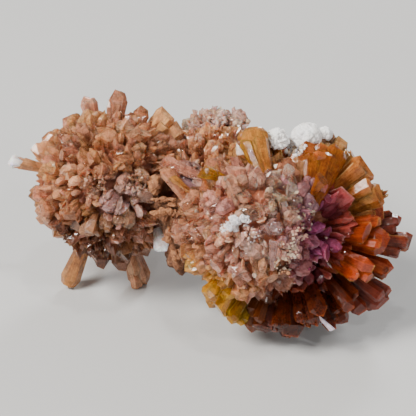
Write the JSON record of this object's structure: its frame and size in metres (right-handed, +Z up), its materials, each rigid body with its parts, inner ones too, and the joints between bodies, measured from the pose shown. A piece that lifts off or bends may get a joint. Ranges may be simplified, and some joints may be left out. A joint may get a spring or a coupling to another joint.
{
  "type": "creedite cluster",
  "caption": "Spiky balls of orange creedite crystals grown into one another round brown rock, with patches of white crust on top. It rests on a broken stump and long crystals.",
  "frame": {"origin": "on the floor, under the middle of the overall box", "axes": "+X along the row of balls, from the small left one to the large right one; +Y away from the viewer, towards the ball at the back; +Z up"},
  "size_m": [0.0521, 0.0334, 0.0257],
  "materials": {
    "orange_creedite": "gloss",
    "brown_rock": "matte",
    "white_crust": "matte"
  },
  "bodies": {
    "root": {"creedite_crystals": "orange_creedite", "matrix_rock": "brown_rock", "white_crust_top": "white_crust", "white_crust_ridge": "white_crust"}
  },
  "joints": []
}
